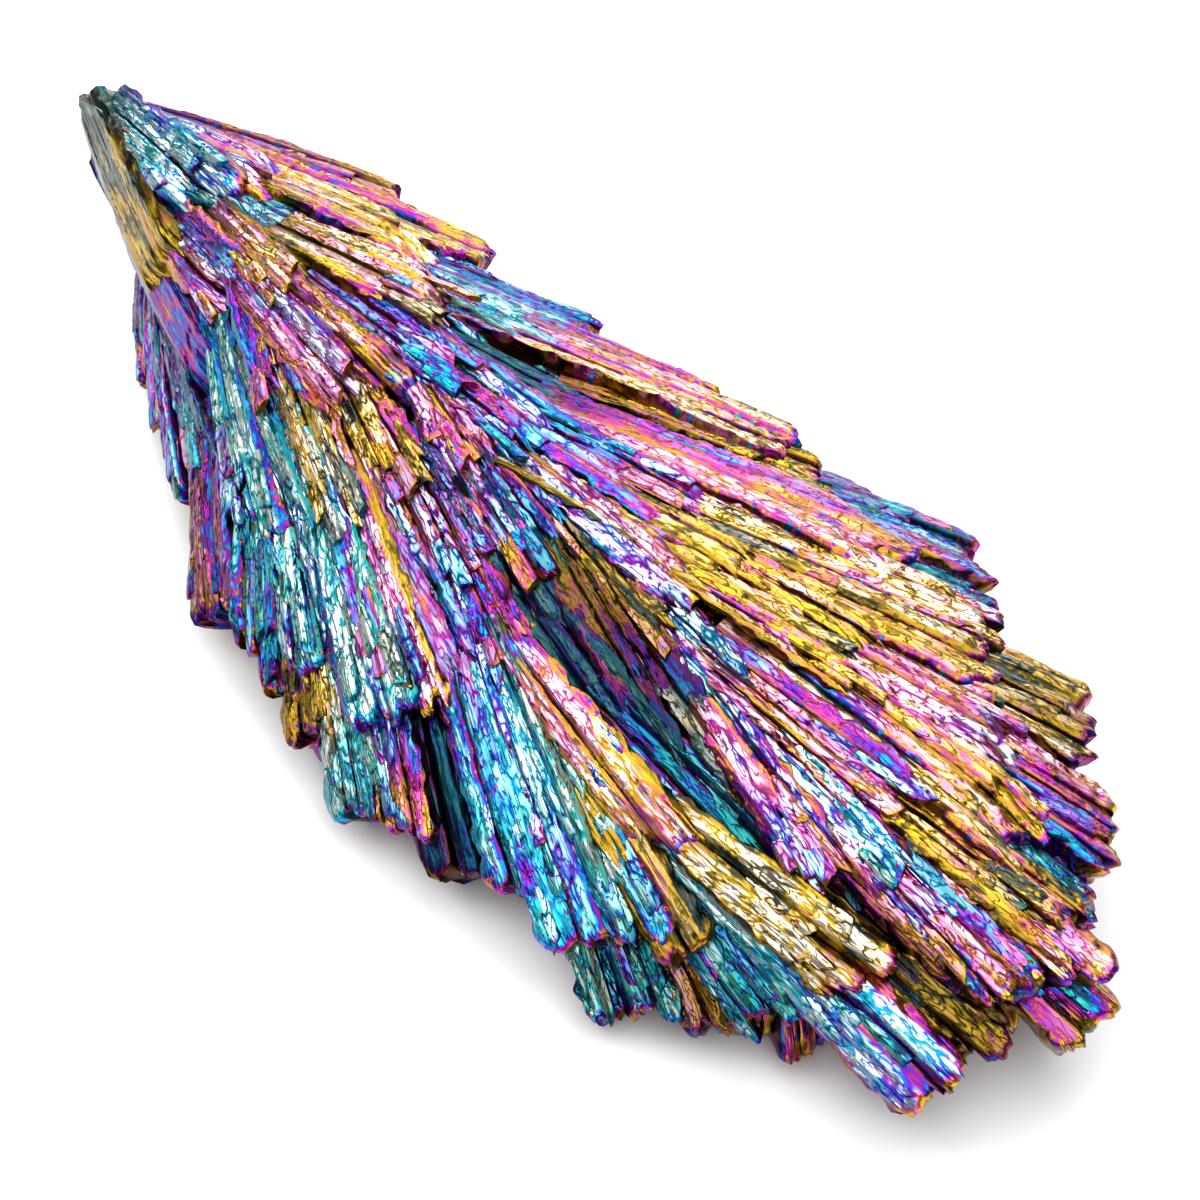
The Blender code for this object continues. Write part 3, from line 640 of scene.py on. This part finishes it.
near_flank = (
    ((-35.6, -4.2), (-31.0, -7.8), (3.0, 2.8), 4.2, 4.0, 3, ("violet", "cobalt"), 0.75, 1.0),
    ((-32.4, -5.4), (-25.0, -10.2), (2.2, 1.9), 4.4, 4.0, 4, ("magenta", "cobalt"), 0.7, 1.0),
    ((-28.6, -7.0), (-17.8, -13.6), (1.8, 1.0), 4.6, 4.0, 4, ("magenta", "azure"), 0.75, 1.0),
    ((-27.0, -7.6), (-15.2, -13.0), (1.0, 0.5), 2.6, 3.4, 2, ("cobalt", "violet"), 0.35, 0.7),
    ((-19.6, -10.4), (-10.4, -17.6), (1.2, 0.3), 4.4, 4.6, 3, ("violet", "copper"), 0.55, 1.0),
    ((-22.0, -7.6), (-9.8, -14.4), (0.6, -0.3), 4.4, 3.2, 2, ("ice", "ice"), 1.0, 0.8),
    ((-13.6, -11.4), (-5.8, -17.8), (1.4, 0.6), 4.2, 4.0, 4, ("teal", "cobalt"), 0.7, 0.9),
    ((-11.0, -12.2), (-2.4, -18.4), (1.6, 0.9), 3.8, 3.8, 3, ("cobalt", "violet"), 0.6, 0.9),
    ((-8.0, -12.4), (0.8, -19.2), (1.7, 0.9), 3.8, 3.8, 3, ("pewter", "gold"), 0.6, 0.9),
    ((-14.0, -9.6), (-1.0, -17.0), (0.8, -0.3), 4.8, 3.2, 2, ("ice", "sky"), 1.0, 0.8),
    ((-18.0, -7.4), (-3.2, -13.0), (0.8, 0.0), 4.0, 3.0, 2, ("mint", "sky"), 0.9, 0.6),
    ((-7.0, -11.0), (4.6, -16.8), (0.8, -0.6), 4.8, 3.2, 2, ("ice", "mint"), 1.0, 0.7),
    ((-4.0, -13.6), (6.4, -20.0), (1.8, 1.0), 4.6, 4.0, 4, ("sage", "teal"), 0.8, 0.9),
    ((0.2, -13.6), (9.8, -19.6), (1.6, 0.8), 3.8, 4.0, 4, ("mint", "gold"), 0.8, 0.9),
    ((3.4, -13.4), (13.0, -18.8), (2.4, 1.9), 3.6, 4.0, 2, ("plum", "cobalt"), 0.08, 0.3),
)
add_blades("near_flank_blades", lay_sprays(near_flank, 10))

# The pink ridge and the middle
# A long pink and magenta ridge runs down the -Y side from the tip. Beside it, in the middle, many
# small blades of every hue lie over each other.

ridge_sprays = (
    ((-25.0, -3.4), (-12.8, -8.6), (0.6, -0.3), 4.6, 3.0, 2, ("magenta", "pink"), 1.0, 0.9),
    ((-22.0, -3.8), (-9.4, -5.8), (0.4, -0.8), 5.6, 3.0, 3, ("pink", "peach"), 1.0, 0.9),
    ((-16.0, -6.6), (-3.6, -11.6), (0.8, -0.1), 3.6, 3.0, 2, ("cream", "pewter"), 1.0, 0.5),
    ((-7.0, -9.6), (5.8, -15.4), (0.7, -0.3), 4.6, 3.4, 2, ("magenta", "pink"), 1.0, 0.7),
    ((-6.0, -9.0), (8.4, -14.0), (0.9, 0.1), 3.0, 3.2, 2, ("rose", "magenta"), 0.6, 0.3),
    ((-12.0, -5.2), (-3.0, -8.2), (1.0, 0.4), 5.0, 2.6, 4, ("olive", "pink"), 0.7, 1.0),
    ((-11.0, -2.0), (0.4, -4.8), (0.8, 0.1), 3.2, 2.6, 2, ("copper", "magenta"), 0.8, 1.0),
    ((-6.0, -6.2), (4.0, -9.2), (1.2, 0.4), 5.4, 2.6, 5, ("lilac", "magenta"), 0.85, 1.0),
    ((0.0, -7.8), (10.4, -11.0), (1.0, 0.4), 4.8, 2.6, 4, ("magenta", "violet"), 0.8, 1.0),
    ((-13.0, -0.6), (1.8, 0.2), (1.0, 0.2), 5.4, 2.8, 4, ("magenta", "azure"), 0.9, 0.9),
    ((-3.0, -3.4), (7.4, -5.4), (1.0, 0.4), 4.6, 2.6, 5, ("copper", "teal"), 0.7, 1.0),
)
add_blades("ridge_blades", lay_sprays(ridge_sprays, 23))

# The near lobe and the valley
# Broad blue and teal blades that reach the fan's -Y corner, a blunt pair over them made pale by
# painted highlight, and the blue valley between this lobe and the crest, dark with painted shade.

near_lobe = (
    ((4.4, -11.2), (19.0, -17.8), (0.9, 0.1), 4.6, 3.8, 3, ("lilac", "azure"), 1.0, 0.8),
    ((7.6, -11.2), (23.2, -17.4), (0.8, -0.3), 5.0, 3.8, 3, ("ice", "cobalt"), 1.0, 0.7),
    ((10.0, -10.8), (25.0, -15.2), (0.8, -0.2), 3.4, 3.4, 2, ("mint", "azure"), 1.0, 0.6),
    ((11.0, -10.4), (26.6, -14.0), (0.8, -0.2), 3.2, 3.4, 2, ("olive", "olive"), 0.6, 0.2),
    ((8.0, -9.6), (22.8, -11.8), (0.8, -1.0), 3.6, 3.0, 2, ("pink", "cream"), 1.0, 0.7),
    ((15.0, -13.0), (26.8, -17.4), (2.0, 1.6), 5.2, 3.2, 4, ("azure", "teal"), 0.6, 1.0),
    ((19.0, -11.2), (30.6, -14.4), (2.2, 2.4), 4.0, 2.8, 3, ("olive", "gold"), 0.25, 0.8),
    ((17.0, -11.4), (32.6, -12.8), (1.2, 1.0), 3.6, 3.0, 3, ("cobalt", "azure"), 0.6, 0.9),
    ((-2.0, -4.4), (12.6, -7.4), (1.0, 0.8), 5.6, 2.8, 4, ("cobalt", "azure"), 0.10, 1.0),
    ((6.0, -4.0), (20.0, -7.2), (0.8, 0.4), 5.0, 2.8, 4, ("slate", "azure"), 0.16, 0.9),
    ((8.0, -7.4), (23.0, -9.8), (1.0, 0.9), 5.0, 2.8, 3, ("cobalt", "azure"), 0.07, 0.8),
    ((15.0, -8.2), (30.0, -8.0), (1.1, 1.1), 4.2, 2.8, 3, ("cobalt", "azure"), 0.55, 1.0),
    ((3.0, -2.4), (16.0, -3.8), (0.9, 0.4), 3.4, 2.8, 3, ("pewter", "olive"), 0.40, 0.9),
    ((13.0, -4.8), (27.0, -6.6), (0.9, 0.6), 2.8, 2.8, 2, ("pewter", "slate"), 0.35, 0.8),
)
add_blades("near_lobe_blades", lay_sprays(near_lobe, 34))

# The end lobe
# The long cream and mint sheaf, blades beside it dark with painted shade, and the magenta and
# lilac blades over them.

end_lobe = (
    ((22.6, -10.0), (35.0, -9.0), (0.7, -0.7), 4.4, 3.4, 2, ("butter", "butter"), 1.0, 0.6),
    ((23.0, -10.5), (41.0, -9.4), (1.0, -0.8), 4.6, 2.6, 2, ("mint", "lilac"), 0.85, 0.4),
    ((29.0, -7.6), (41.6, -6.4), (1.8, 1.4), 3.4, 3.2, 2, ("slate", "gold"), 0.30, 0.9),
    ((27.0, -6.4), (40.6, -5.6), (1.7, 2.1), 3.4, 3.4, 3, ("cobalt", "slate"), 0.05, 0.6),
    ((25.0, -5.2), (37.6, -4.6), (0.9, 0.5), 3.0, 3.0, 2, ("violet", "cream"), 0.7, 0.7),
    ((18.0, -4.6), (31.4, -7.4), (0.8, -0.8), 3.6, 3.2, 2, ("pink", "magenta"), 1.0, 0.9),
    ((19.0, -3.6), (34.0, -4.6), (0.8, -0.2), 3.4, 3.0, 2, ("ice", "lilac"), 1.0, 0.8),
    ((27.0, -3.8), (40.8, -3.8), (0.8, 0.0), 3.8, 3.0, 3, ("lilac", "magenta"), 0.9, 0.9),
)
add_blades("end_lobe_blades", lay_sprays(end_lobe, 48))

# The far flank
# Longer, flatter sprays on the +Y side: pink and gold bars, blue and plum ledges, and gaps dark
# with painted shade.

far_flank = (
    ((-23.0, 0.4), (-10.4, 2.8), (0.6, -0.3), 5.6, 3.0, 3, ("cream", "pink"), 1.0, 1.0),
    ((-18.0, -1.8), (-5.0, -1.6), (0.7, 0.0), 5.0, 2.8, 4, ("magenta", "azure"), 0.8, 1.0),
    ((-20.6, 5.2), (-8.6, 12.6), (1.4, 0.4), 6.0, 4.0, 4, ("azure", "cobalt"), 0.8, 0.9),
    ((-19.0, 3.2), (-6.0, 7.2), (1.0, 0.2), 4.4, 3.2, 4, ("teal", "ice"), 0.9, 0.9),
    ((-13.0, 6.4), (1.2, 14.4), (1.2, 0.4), 5.0, 4.0, 4, ("magenta", "plum"), 0.8, 0.9),
    ((-10.0, 5.2), (5.8, 13.8), (0.8, -0.4), 5.8, 4.0, 4, ("magenta", "cream"), 1.0, 0.9),
    ((-8.0, 1.8), (8.6, 6.4), (1.0, 1.1), 4.0, 2.8, 3, ("azure", "cobalt"), 0.22, 0.7),
    ((-3.0, 6.4), (9.4, 14.0), (0.9, 0.0), 4.4, 4.0, 4, ("copper", "gold"), 0.9, 0.9),
    ((2.0, 8.4), (13.0, 15.8), (1.4, 0.7), 4.0, 4.0, 3, ("azure", "cobalt"), 0.4, 0.8),
    ((-1.0, 3.6), (17.0, 12.2), (0.8, -0.3), 5.0, 3.8, 3, ("magenta", "pink"), 0.95, 0.8),
    ((5.0, 9.4), (18.8, 17.6), (1.2, 0.3), 5.0, 4.0, 5, ("violet", "cobalt"), 0.8, 0.9),
    ((-4.0, 0.0), (10.6, 3.6), (0.8, -0.1), 5.0, 3.0, 4, ("azure", "pink"), 1.0, 0.8),
    ((1.0, -1.2), (16.0, 2.6), (0.8, 0.0), 4.6, 3.0, 4, ("gold", "olive"), 0.8, 0.5),
    ((6.0, 5.8), (21.2, 15.2), (1.4, 0.6), 4.8, 4.0, 4, ("rose", "azure"), 0.8, 0.9),
    ((-21.0, 2.4), (-7.6, 4.8), (1.0, 0.5), 4.4, 3.0, 3, ("magenta", "azure"), 0.8, 1.0),
    ((1.0, -1.6), (14.6, -1.3), (0.7, 0.3), 3.2, 2.8, 2, ("lilac", "pink"), 0.9, 0.9),
)
add_blades("far_flank_blades", lay_sprays(far_flank, 56))

# The far lobe and the fan's end
# Gold and salmon sheaves that fan out to the +Y corner, slate prongs with blunt ends, and the
# pink keel and gold sheaf that reach the end of the fan.

far_lobe = (
    ((6.0, 2.2), (25.2, 11.4), (0.8, -0.3), 6.8, 4.0, 6, ("gold", "cream"), 1.0, 0.9),
    ((10.0, 0.6), (25.4, 4.4), (0.8, -0.5), 5.8, 3.4, 5, ("peach", "gold"), 1.0, 0.9),
    ((16.0, 5.8), (31.6, 12.8), (1.2, 0.2), 6.4, 4.4, 4, ("slate", "cream"), 0.55, 0.7),
    ((16.0, 3.0), (31.6, 8.0), (0.9, 0.0), 5.4, 3.8, 4, ("copper", "pink"), 0.95, 0.9),
    ((24.0, 3.8), (38.0, 7.6), (1.2, 0.1), 5.2, 4.4, 5, ("cobalt", "magenta"), 0.9, 0.8),
    ((18.0, 0.8), (36.6, 3.0), (0.8, -0.4), 5.4, 3.8, 4, ("pink", "gold"), 0.95, 0.9),
    ((27.6, 1.8), (39.8, 3.4), (1.4, 1.6), 5.0, 4.0, 4, ("azure", "cobalt"), 0.7, 0.9),
    ((17.0, -2.4), (32.4, -1.2), (0.8, -0.3), 4.4, 3.2, 4, ("pink", "magenta"), 1.0, 0.9),
    ((27.0, -1.4), (41.2, 0.6), (0.8, 0.0), 4.4, 3.6, 4, ("olive", "gold"), 0.8, 0.9),
    ((30.0, -2.2), (43.4, -1.2), (0.9, 0.2), 5.0, 3.6, 3, ("magenta", "peach"), 1.0, 0.8),
    ((31.0, -2.8), (44.0, -0.6), (1.4, 3.2), 4.4, 3.2, 2, ("plum", "violet"), 0.8, 0.5),
    ((8.0, -2.6), (22.0, -3.4), (1.0, 0.6), 3.4, 2.8, 3, ("lilac", "ice"), 0.8, 1.0),
)
add_blades("far_lobe_blades", lay_sprays(far_lobe, 70))

# Loose scales
# Slips of crystal that lie over the sprays and their seams, and break up the rows of blades.

all_sprays = tip_sprays + near_flank + ridge_sprays + near_lobe + end_lobe + far_flank + far_lobe
add_blades("loose_scales", lay_scales(all_sprays, 7), crisp=16)

# The underside
# Short blades under the rims, facing down and out, and the broken middle that the fan rests on.
# The under blades are painted a little dark as shade (lit 0.6). The middle is darkened with
# painted shade: nearly black over its top, which shows between the sprays, half dark on the break.

under_sprays = (
    ((-30.0, -1.0, 1.2), (-43.0, 0.6, 6.4), 4.2, 2.6, 3, ("pewter", "violet")),
    ((-34.0, 1.0, 2.2), (-27.0, 8.2, 4.2), 5.0, 3.0, 4, ("cobalt", "magenta")),
    ((-26.0, 1.6, 1.0), (-15.0, 9.8, 3.2), 6.6, 3.2, 4, ("violet", "gold")),
    ((-16.0, 2.2, 0.6), (-2.6, 11.8, 3.0), 7.2, 3.2, 4, ("azure", "violet")),
    ((-5.0, 3.0, 0.6), (9.4, 13.4, 3.0), 7.6, 3.2, 4, ("plum", "cobalt")),
    ((5.0, 4.0, 0.6), (19.0, 14.2, 3.2), 7.2, 3.2, 4, ("teal", "magenta")),
    ((14.0, 3.0, 0.6), (29.4, 11.4, 3.0), 7.4, 3.4, 4, ("cobalt", "gold")),
    ((22.0, 1.0, 0.6), (38.0, 6.0, 3.0), 6.6, 3.4, 4, ("violet", "azure")),
    ((24.0, -2.0, 0.4), (41.6, -1.2, 2.8), 5.4, 3.4, 4, ("teal", "violet")),
    ((22.0, -4.0, 0.4), (37.4, -7.6, 1.6), 5.0, 3.0, 4, ("olive", "rose")),
    ((-32.0, -2.4, 1.2), (-26.6, -7.4, 2.0), 4.4, 3.0, 4, ("cobalt", "violet")),
    ((-26.0, -3.4, 0.6), (-17.4, -11.6, 1.6), 6.0, 3.0, 4, ("teal", "rose")),
    ((-18.0, -4.4, 0.5), (-7.6, -15.2, 1.2), 5.6, 3.0, 4, ("copper", "gold")),
    ((-8.0, -5.4, 0.4), (3.2, -17.4, 1.4), 6.6, 3.0, 4, ("teal", "azure")),
    ((2.0, -6.0, 0.4), (13.6, -16.4, 1.4), 6.4, 3.0, 4, ("cobalt", "magenta")),
    ((12.0, -6.0, 0.4), (24.4, -15.4, 1.2), 6.6, 3.0, 4, ("azure", "plum")),
    ((18.0, -5.4, 0.4), (33.0, -12.0, 1.2), 6.0, 3.0, 4, ("olive", "cobalt")),
)
under = []
for seed, (root, tip, width, thick, blades, tint) in enumerate(under_sprays, 90):
    down = np.array([0.0, 0.25 * math.copysign(1.0, tip[1] - CREST_Y), -1.0])
    start, end = np.array(root), np.array(tip)
    size = width, thick, blades
    looks = {"tint": tint, "lit": 0.6, "crinkle": 0.9}
    under.append(spray_surface(start, end, down, *size, **looks, seed=seed, fine=0.55))
add_blades("under_blades", under)


def broken_middle():
    """The grown-together middle as a closed grid: x runs along the fan, v round each section.

    A section is an arch 0.74 of the rim's width, 1.9 mm below the blades' tops, over a flat that
    rises to the tip and the end. Laths run down the arch to either side, as the blades do, and
    stepped noise roughens the break below, except where it would sink in the table.
    """
    rows, columns = 210, 150
    arch_share, inset, below_tops = 0.66, 0.74, 1.9
    X = np.linspace(-43.6, 38.0, rows)[:, None]
    v = np.linspace(0, 1, columns, endpoint=False)[None, :]
    arch = v < arch_share
    s = np.where(arch, 1 - 2 * v / arch_share, -1 + 2 * (v - arch_share) / (1 - arch_share))
    near, far = rim_y(X)
    side = np.where(s > 0, far, near)
    reach = np.where(arch, inset, 0.62 * inset + 0.28 * inset * np.abs(s) ** 6)
    Y = CREST_Y + np.abs(s) * reach * (side - CREST_Y)
    base = np.interp(X, (-46.0, -33.0, 30.0, 46.0), (8.2, 0.0, 0.0, 2.4)) + 0 * v
    top = np.maximum(surface_height(X + 0 * v, Y) - below_tops, base + 0.6)
    edge = np.abs(s) ** 8
    Z = np.where(arch, top + (base - top) * 0.5 * edge, base + (top - base) * 0.25 * edge)
    across = np.where(s > 0, 0.91 * Y - 0.42 * X, 0.82 * Y + 0.57 * X)
    down = np.where(s > 0, 0.91 * X + 0.42 * Y, 0.82 * X - 0.57 * Y)
    scales, tone = laths(across + 0.3 * grain(down / 4, across / 2, 200), down, 1.3, 6.0, 201)
    steps = np.round(grain((X * 0.9 + Y * 0.5) / 2.4, (Y - 0.4 * X) / 0.9, 202) * 2.5) / 2.5
    rough = 0.35 * steps + 0.18 * grain(X / 0.8, Y / 0.5, 203)
    broken = grain(X / 9, Y / 6, 204) > -0.35
    Z = Z + np.where(arch, 0.35 * scales, 0.45 * np.abs(rough) * broken)
    grid = np.stack([X + 0 * v, Y, Z], -1)
    poles = np.array([grid[0].mean(axis=0), grid[-1].mean(axis=0)])
    film = 0.55 + 0.22 * grain(X / 6, Y / 3, 205) + np.where(arch, 0.25 * tone, 0.10 * steps)
    lath = np.stack([down, across, 0 * Y + 40.0], -1).reshape(-1, 3)

    def with_poles(field):
        field = np.broadcast_to(field, Z.shape).ravel()
        return np.concatenate([field, field[:1], field[-1:]])

    lath = np.vstack([lath, lath[:1], lath[-1:]])
    # Painted shade: nearly black where the top shows between the sprays, half dark on the break
    painted_shade = np.where(arch, 0.06, 0.42)
    fields = [with_poles(field) for field in (film, 0.1, painted_shade, 0.8, 0.2)]
    return grid, poles, *fields, lath


add_blades("grown_middle", [broken_middle()])

# The floor and the light
# A plain white table top, 6 m square, that the fan lies on. Five soft boxes stand behind it,
# beyond its tip and above it, and a dim even sky fills the shadows.

table = bpy.data.materials.new("white_table")
table.use_nodes = True
table_shader = table.node_tree.nodes["Principled BSDF"]
table_shader.inputs["Base Color"].default_value = (0.93, 0.93, 0.93, 1.0)
table_shader.inputs["Roughness"].default_value = 0.7
floor_mesh = bpy.data.meshes.new("floor")
floor_mesh.from_pydata([(-3, -3, 0), (3, -3, 0), (3, 3, 0), (-3, 3, 0)], [], [(0, 1, 2, 3)])
floor_mesh.materials.append(table)
floor = bpy.data.objects.new("floor", floor_mesh)
bpy.context.scene.collection.objects.link(floor)


def turned(place, back):
    """The matrix of a lamp or camera at a place, upright, with its back along a unit vector."""
    right = unit(np.cross((0, 0, 1), back))
    up = np.cross(back, right)
    rows = [[right[k], up[k], back[k], place[k]] for k in range(3)]
    return Matrix(rows + [[0, 0, 0, 1]])


def soft_box(name, place, wide, high, glow):
    """An area light at a place in metres, turned to shine at the fan, with its glow per area."""
    light = bpy.data.lights.new(name, "AREA")
    light.shape = "RECTANGLE"
    light.size, light.size_y, light.energy = wide, high, glow * math.pi * wide * high
    lamp = bpy.data.objects.new(name, light)
    lamp.matrix_world = turned(place, unit(np.array(place)))
    bpy.context.scene.collection.objects.link(lamp)


soft_box("key_box", (-0.26, 0.30, 0.50), 0.56, 0.44, 3.2)
soft_box("side_box", (-0.36, -0.30, 0.56), 0.46, 0.36, 3.5)
soft_box("tip_box", (-0.56, 0.14, 0.34), 0.34, 0.28, 4.5)
soft_box("rear_box", (-0.30, 0.70, 0.16), 0.60, 0.22, 3.3)
soft_box("top_box", (0.24, -0.10, 0.80), 1.10, 1.10, 2.4)

world = bpy.data.worlds.new("studio")
world.use_nodes = True
world.node_tree.nodes["Background"].inputs["Color"].default_value = (0.95, 0.97, 1.0, 1.0)
world.node_tree.nodes["Background"].inputs["Strength"].default_value = 0.20
bpy.context.scene.world = world

# The camera
# It looks down from the fan's -Y side and its wide end, at about 50 degrees, as in the photograph.

view_data = bpy.data.cameras.new("camera")
view_data.lens, view_data.sensor_width, view_data.clip_start = 100.0, 36.0, 0.001
camera = bpy.data.objects.new("camera", view_data)
turn, lift = math.radians(48.5), math.radians(50.0)
back = np.array([math.sin(turn) * math.cos(lift), -math.cos(turn) * math.cos(lift), math.sin(lift)])
aim, distance = np.array([0.0075, -0.0032, 0.0100]), 0.1865
camera.matrix_world = turned(aim + back * distance, back)
bpy.context.scene.collection.objects.link(camera)
bpy.context.scene.camera = camera
bpy.context.scene.view_settings.view_transform = "Standard"
